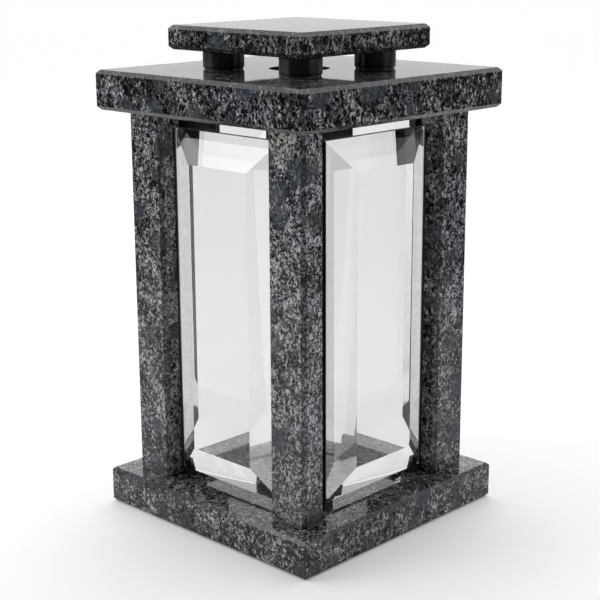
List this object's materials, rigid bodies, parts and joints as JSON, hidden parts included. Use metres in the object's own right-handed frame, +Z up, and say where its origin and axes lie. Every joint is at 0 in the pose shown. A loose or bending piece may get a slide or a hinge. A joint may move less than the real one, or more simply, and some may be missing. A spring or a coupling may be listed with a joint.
{
  "type": "stone lantern",
  "caption": "Square polished stone grave lantern with corner posts, bevelled glass panes and a lift-off lid under a raised vented roof plate.",
  "frame": {"origin": "centre of the base plate's underside", "axes": "+Z up; -Y the front, where both posts turn their broad side; +X to the right seen from the front"},
  "size_m": [0.181, 0.181, 0.3158],
  "materials": {
    "granite": "polished dark blue-grey granite with fine black and light grey grain",
    "glass": "clear bevelled plate glass",
    "silicone": "black rubber seal strip",
    "rubber": "matt black rubber",
    "black_trim": "satin black",
    "steel": "plain stainless rod"
  },
  "bodies": {
    "base": {"base_plate": "granite", "post_front_left": "granite", "post_front_right": "granite", "post_rear_right": "granite", "post_rear_left": "granite", "post_dowels": "steel", "pane_front": "glass", "pane_right": "glass", "pane_rear": "glass", "pane_left": "glass", "seals_front": "silicone", "seals_right": "silicone", "seals_rear": "silicone", "seals_left": "silicone", "setting_blocks_front": "rubber", "setting_blocks_right": "rubber", "setting_blocks_rear": "rubber", "setting_blocks_left": "rubber", "strip_right_left": "black_trim", "strip_rear_left": "black_trim", "strip_rear_right": "black_trim", "strip_left_right": "black_trim", "foot_angle_front_left": "black_trim", "foot_angle_front_right": "black_trim", "foot_angle_rear_right": "black_trim", "foot_angle_rear_left": "black_trim"},
    "lid": {"top_plate": "granite", "roof_plate": "granite", "roof_dowels": "steel", "standoff_front_left": "black_trim", "standoff_front_right": "black_trim", "standoff_rear_right": "black_trim", "standoff_rear_left": "black_trim", "lid_locator_front_left": "black_trim", "lid_locator_front_right": "black_trim", "lid_locator_rear_right": "black_trim", "lid_locator_rear_left": "black_trim"}
  },
  "joints": [
    {"name": "lid_lift", "type": "slide", "parent": "base", "child": "lid", "axis": [0, 0, 1], "range_m": [0, 0.1]}
  ]
}
